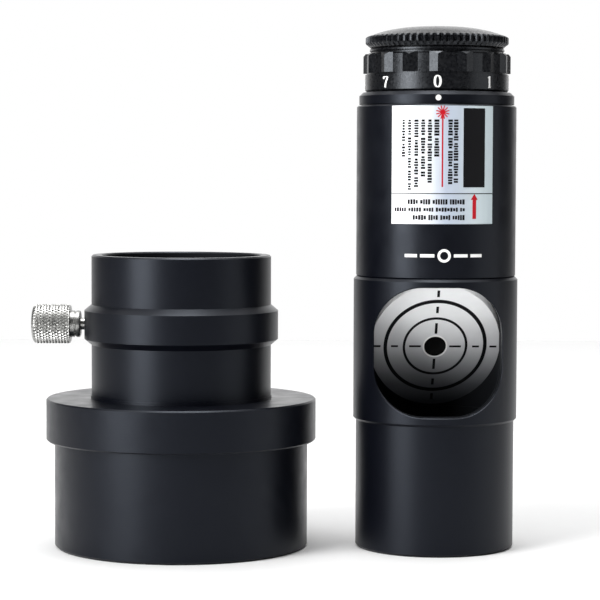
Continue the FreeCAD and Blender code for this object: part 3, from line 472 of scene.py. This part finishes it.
def on_cylinder(radius, azimuth, height):
    """Maps (across, up, proud) in mm onto a cylinder about the beam axis."""
    def place(across, up, proud):
        angle = math.radians(FRONT + azimuth) + across / radius
        reach = radius + proud
        return (reach * math.cos(angle), reach * math.sin(angle), height + up)
    return place


def on_target(across, up, proud):
    """Maps (across, up, proud), as seen from the front, onto the 45 degree target face."""
    up *= TARGET_SQUASH
    lift = proud * math.sqrt(0.5)
    return (across, -up - lift, TARGET_CENTRE + up - lift)


def smooth_path(points, closed, steps=6):
    """A Catmull-Rom curve through the points."""
    count = len(points)
    if count < 3:
        return list(points)
    path = []
    for index in range(count if closed else count - 1):
        if closed:
            corners = [points[(index + shift) % count] for shift in (-1, 0, 1, 2)]
        else:
            corners = [points[min(max(index + shift, 0), count - 1)] for shift in (-1, 0, 1, 2)]
        for step in range(steps):
            t = step / steps
            path.append(tuple(0.5 * (2 * b + (c - a) * t + (2 * a - 5 * b + 4 * c - d) * t * t
                                     + (3 * b - a - 3 * c + d) * t ** 3)
                              for a, b, c, d in zip(*corners)))
    if not closed:
        path.append(tuple(points[-1]))
    return path


def divided(start, end, longest=0.8):
    """Points along a straight line, close enough to follow a curved surface."""
    count = max(1, math.ceil(math.dist(start, end) / longest))
    return [tuple(a + (b - a) * step / count for a, b in zip(start, end)) for step in range(count + 1)]


class Print:
    """Gathers ribbons of ink that end up as one thin closed mesh."""

    def __init__(self, place, sunk=0.02):
        self.place = place
        self.sunk = sunk
        self.vertices = []
        self.faces = []

    def ribbon(self, path, width, closed=False):
        """A line of ink along (across, up) points; width is one number, a list or a function."""
        count = len(path)
        first = len(self.vertices)
        for index, (x, y) in enumerate(path):
            before = path[(index - 1) % count] if closed or index else path[0]
            after = path[(index + 1) % count] if closed or index < count - 1 else path[-1]
            dx, dy = after[0] - before[0], after[1] - before[1]
            length = math.hypot(dx, dy)
            dx, dy = dx / length, dy / length
            wide = width(dx, dy) if callable(width) else width
            if isinstance(width, (list, tuple)):
                wide = width[index]
            side = (-dy * wide / 2, dx * wide / 2)
            for sign, proud in ((1, -self.sunk), (-1, -self.sunk), (-1, PRINT_THICKNESS),
                                (1, PRINT_THICKNESS)):
                self.vertices.append(self.place(x + sign * side[0], y + sign * side[1], proud))
        spans = count if closed else count - 1
        for index in range(spans):
            here = first + index * 4
            there = first + (index + 1) % count * 4
            for corner in range(4):
                turn = (corner + 1) % 4
                self.faces.append((here + corner, here + turn, there + turn, there + corner))
        if not closed:
            last = first + (count - 1) * 4
            self.faces.append((first, first + 1, first + 2, first + 3))
            self.faces.append((last + 3, last + 2, last + 1, last))

    def line(self, start, end, width):
        self.ribbon(divided(start, end), width)

    def circle(self, radius, width, centre=(0, 0), steps=96):
        path = [(centre[0] + radius * math.cos(2 * math.pi * step / steps),
                 centre[1] + radius * math.sin(2 * math.pi * step / steps)) for step in range(steps)]
        self.ribbon(path, width, closed=True)

    def disc(self, radius, centre=(0, 0), steps=24):
        path = []
        widths = []
        for step in range(steps + 1):
            angle = math.pi * (0.02 + 0.96 * step / steps)
            path.append((centre[0] - radius * math.cos(angle), centre[1]))
            widths.append(2 * radius * math.sin(angle))
        self.ribbon(path, widths)

    def piece(self, name, slot, body):
        return add_piece(name, self.vertices, self.faces, slot, body)


DIGIT_WIDTH = 1.85
DIGIT_HEIGHT = 2.3
CIRCLE = [(0.30, 0.0), (0.22, 0.34), (0.0, 0.47), (-0.22, 0.34), (-0.30, 0.0), (-0.22, -0.34),
          (0.0, -0.47), (0.22, -0.34)]
DIGITS = {
    0: [CIRCLE],
    1: [[(0.02, -0.48), (0.02, 0.48)], [(-0.16, 0.30), (0.02, 0.46)], [(-0.17, -0.47), (0.21, -0.47)]],
    2: [[(-0.27, 0.22), (-0.18, 0.42), (0.02, 0.46), (0.24, 0.34), (0.24, 0.12), (0.02, -0.16), (-0.28, -0.44)],
        [(-0.30, -0.45), (0.30, -0.45)]],
    3: [[(-0.26, 0.28), (-0.12, 0.45), (0.12, 0.44), (0.24, 0.25), (0.14, 0.08), (-0.06, 0.03)],
        [(-0.06, 0.03), (0.19, -0.04), (0.27, -0.22), (0.14, -0.43), (-0.10, -0.46), (-0.28, -0.32)]],
    4: [[(0.12, -0.48), (0.12, 0.46)], [(0.12, 0.46), (-0.32, -0.18)], [(-0.33, -0.18), (0.33, -0.18)],
        [(-0.06, -0.47), (0.30, -0.47)]],
    5: [[(-0.20, 0.45), (0.26, 0.45)], [(-0.20, 0.45), (-0.22, 0.05)],
        [(-0.22, 0.05), (0.0, 0.13), (0.22, 0.04), (0.28, -0.17), (0.15, -0.41), (-0.08, -0.46), (-0.28, -0.34)]],
    6: [[(0.24, 0.36), (0.05, 0.46), (-0.18, 0.30), (-0.28, -0.05), (-0.24, -0.33), (0.0, -0.46),
         (0.22, -0.34), (0.27, -0.16), (0.18, 0.03), (0.0, 0.09), (-0.2, -0.02), (-0.27, -0.14)]],
    7: [[(-0.30, 0.44), (0.31, 0.44)], [(-0.28, 0.45), (-0.29, 0.24)],
        [(0.30, 0.42), (0.12, 0.10), (0.0, -0.16), (-0.05, -0.48)]],
}


def pen_width(dx, dy):
    """Upright strokes are broad and level ones thin, as in a book face."""
    return 0.17 + 0.27 * abs(dy)


def make_dial_numbers():
    step = 360 / len(DIGITS)
    numbers = Print(None)
    for digit, strokes in DIGITS.items():
        numbers.place = on_cylinder(BAND_RADIUS, DIAL_TURN + digit * step, BAND_MIDDLE)
        for stroke in strokes:
            points = [(x * DIGIT_WIDTH, y * DIGIT_HEIGHT) for x, y in stroke]
            closed = stroke is CIRCLE
            numbers.ribbon(smooth_path(points, closed), pen_width, closed)
    numbers.piece("dial_numbers", "white_print", "dial")


def make_index_dot():
    dot = Print(on_cylinder(COLLAR_RADIUS, DIAL_TURN + 0.6, COLLAR_MIDDLE))
    dot.disc(0.55)
    dot.piece("index_dot", "white_print", "collimator")


def make_axis_mark():
    """A plain beam-axis sign, line, open circle, line, where a maker would put a name."""
    mark = Print(on_cylinder(HOUSING_RADIUS, 2.6, 59.05))
    mark.circle(1.05, 0.5, steps=48)
    for side in (-1, 1):
        mark.line((side * 1.9, 0), (side * 4.7, 0), 0.62)
        mark.line((side * 5.3, 0), (side * 7.8, 0), 0.62)
    mark.piece("beam_axis_mark", "white_print", "collimator")


def make_target_marks():
    """Two rings and a broken cross for judging where the returned beam falls."""
    marks = Print(on_target)
    marks.circle(6.25, 0.5)
    marks.circle(10.0, 0.72)
    for start, end in ((2.85, 5.2), (7.45, 8.85), (10.95, 12.35)):
        for across, up in ((1, 0), (-1, 0), (0, 1), (0, -1)):
            wide = 0.52 if across == 0 else 0.4
            marks.line((across * start, up * start), (across * end, up * end), wide)
    marks.piece("target_rings", "black_print", "collimator")
    halo = Print(on_target)
    halo.circle(BEAM_HOLE_RADIUS + 0.2, 0.3)
    halo.piece("target_halo", "white_print", "collimator")


# ---------------------------------------------------------------- label

LABEL_AZIMUTH = 1.95
LABEL_DIVIDER = 71.1
LABEL_BEAM = 0.9
COLUMNS = (
    (10.4, 85.4, 72.9, 0.90), (6.4, 85.4, 72.9, 0.90),
    (-3.1, 85.4, 78.0, 0.98), (-7.9, 85.4, 72.9, 0.88), (-12.6, 85.4, 74.2, 0.88),
    (-17.4, 85.4, 71.8, 0.86), (-22.3, 85.4, 71.8, 0.72), (-26.8, 85.4, 78.0, 0.72),
)
ROWS = ((69.5, -23.4, 18.1, 1.0), (68.0, -33.5, 18.1, 0.8), (66.47, -19.7, 18.1, 1.0))


def along_label(azimuth):
    return math.radians(azimuth) * FOIL_RADIUS


def word_blocks(start, end, chance):
    """Splits a line into short letter-like blocks with gaps for words."""
    place = start
    direction = 1 if end > start else -1
    left_in_word = chance.randint(4, 8)
    while (end - place) * direction > 0.25:
        length = chance.uniform(0.32, 0.46)
        finish = place + direction * min(length, (end - place) * direction)
        yield place, finish, chance.choice((1.0, 1.0, 0.9, 0.72))
        left_in_word -= 1
        place = finish + direction * 0.13
        if left_in_word == 0:
            place += direction * 0.36
            left_in_word = chance.randint(4, 8)


def make_label_print():
    """Generic label art: greeked lines of type, a solid block, a frame line, a red beam and arrow."""
    chance = random.Random(5)
    black = Print(on_cylinder(FOIL_RADIUS, 0.0, 0.0))
    for azimuth, top, bottom, wide in COLUMNS:
        x = along_label(azimuth)
        for start, finish, part in word_blocks(top, bottom, chance):
            black.ribbon([(x, start), (x, finish)], wide * part)
    for height, left, right, tall in ROWS:
        for start, finish, part in word_blocks(along_label(left), along_label(right), chance):
            black.ribbon([(start, height), (finish, height)], tall * part)
    black.line((along_label(-35.8), LABEL_DIVIDER), (along_label(39.7), LABEL_DIVIDER), 0.16)
    black.line((along_label(15.8), 79.97), (along_label(32.6), 79.97), 15.3)
    black.piece("label_type", "black_print", "collimator")

    red = Print(on_cylinder(FOIL_RADIUS, LABEL_BEAM, 0.0))
    red.line((0, 86.8), (0, 72.4), 0.28)
    red.disc(0.5, (0, 86.8))
    for ray in range(12):
        angle = math.radians(ray * 30 + 15)
        near = (0.5 * math.cos(angle), 86.8 + 0.5 * math.sin(angle))
        far = (1.3 * math.cos(angle), 86.8 + 1.3 * math.sin(angle))
        red.ribbon([near, far], 0.22)
    arrow = along_label(24.3 - LABEL_BEAM)
    red.line((arrow, 66.2), (arrow, 69.9), 0.78)
    red.ribbon([(arrow, 69.9), (arrow, 71.0)], [1.5, 0.1])
    red.piece("label_beam", "red_print", "collimator")


# ---------------------------------------------------------------- studio

CAMERA_PLACE = (-0.02718, -0.460, 0.076)
CAMERA_PITCH = -3.3
CAMERA_ROLL = 0.2
FOCAL_LENGTH = 137.6


def make_floor():
    bpy.ops.mesh.primitive_plane_add(size=1.1, location=(0, 0, 0))
    floor = bpy.context.object
    floor.name = "floor"
    material, shader = new_material("floor_white", Roughness=0.9)
    shader.inputs["Specular IOR Level"].default_value = 0.1
    paper = noise(material, object_place(material), 300)
    tone = mix_colours(material, paper, (0.93, 0.93, 0.93, 1), (0.95, 0.95, 0.95, 1))
    link(material, tone, shader.inputs["Base Color"])
    floor.data.materials.append(material)


def area_light(name, place, target, size, power):
    """A rectangular soft light that faces its target."""
    light = bpy.data.lights.new(name, "AREA")
    light.energy = power
    light.shape = "RECTANGLE"
    light.size, light.size_y = size
    lamp = bpy.data.objects.new(name, light)
    lamp.location = place
    aim = Vector(target) - Vector(place)
    lamp.rotation_euler = aim.to_track_quat("-Z", "Y").to_euler()
    bpy.context.collection.objects.link(lamp)
    return lamp


def light_only(lamp, objects):
    """Keeps a light to a few objects, as a small mirror by the camera would."""
    group = bpy.data.collections.new(lamp.name + "_receivers")
    for thing in objects:
        group.objects.link(thing)
    lamp.light_linking.receiver_collection = group


def make_world():
    """White for the camera; what the object reflects is dim in front and bright behind."""
    world = bpy.data.worlds.new("studio")
    world.use_nodes = True
    bpy.context.scene.world = world
    tree = world.node_tree
    background = tree.nodes["Background"]
    background.inputs["Color"].default_value = (1, 1, 1, 1)
    place = tree.nodes.new("ShaderNodeTexCoord")
    parts = tree.nodes.new("ShaderNodeSeparateXYZ")
    tree.links.new(place.outputs["Generated"], parts.inputs[0])
    wall = tree.nodes.new("ShaderNodeMapRange")
    wall.interpolation_type = "SMOOTHSTEP"
    for socket, value in (("From Min", 0.62), ("From Max", 0.97), ("To Min", 0.04)):
        wall.inputs[socket].default_value = value
    tree.links.new(parts.outputs["Y"], wall.inputs["Value"])
    horizon = tree.nodes.new("ShaderNodeMapRange")
    for socket, value in (("From Min", -0.15), ("From Max", 0.10), ("To Min", 0.35), ("To Max", 1.7)):
        horizon.inputs[socket].default_value = value
    tree.links.new(parts.outputs["Z"], horizon.inputs["Value"])
    tree.links.new(horizon.outputs["Result"], wall.inputs["To Max"])
    path = tree.nodes.new("ShaderNodeLightPath")
    strength = tree.nodes.new("ShaderNodeMapRange")
    tree.links.new(path.outputs["Is Camera Ray"], strength.inputs["Value"])
    tree.links.new(wall.outputs["Result"], strength.inputs["To Min"])
    strength.inputs["To Max"].default_value = 1.0
    tree.links.new(strength.outputs["Result"], background.inputs["Strength"])


def make_camera():
    camera = bpy.data.cameras.new("camera")
    camera.lens = FOCAL_LENGTH
    camera.sensor_width = 36
    camera.clip_end = 20
    holder = bpy.data.objects.new("camera", camera)
    pitch = Matrix.Rotation(math.radians(90 + CAMERA_PITCH), 4, "X")
    roll = Matrix.Rotation(math.radians(CAMERA_ROLL), 4, "Z")
    holder.matrix_world = Matrix.Translation(CAMERA_PLACE) @ pitch @ roll
    bpy.context.collection.objects.link(holder)
    bpy.context.scene.camera = holder


def make_studio():
    make_floor()
    make_world()
    make_camera()
    middle = (-0.025, 0, 0.05)
    area_light("softbox_left", (-0.64, -0.54, 0.26), middle, (0.42, 0.7), 11.0)
    area_light("softbox_right", (0.76, -0.20, 0.16), middle, (0.60, 0.8), 1.6)
    window_fill = area_light("window_fill", (-0.02, -0.60, 0.02), (0, 0, 0.042), (0.2, 0.2), 1.0)
    light_only(window_fill, [frame["nodes"]["target_plug"]])
    edge_light = area_light("edge_light", (-0.025, -0.05, 0.8), middle, (0.3, 0.3), 3.5)
    light_only(edge_light, [thing for thing in bpy.data.objects
                            if thing.type == "MESH" and thing.name != "floor"])
    area_light("overhead", (0, 0.1, 1.1), (0, 0.1, 0), (1.4, 1.4), 16)
    bpy.context.scene.view_settings.view_transform = "Standard"


dress_cad_nodes()
make_battery_cap()
make_thumb_head()
make_dial_numbers()
make_index_dot()
make_axis_mark()
make_target_marks()
make_label_print()
make_studio()
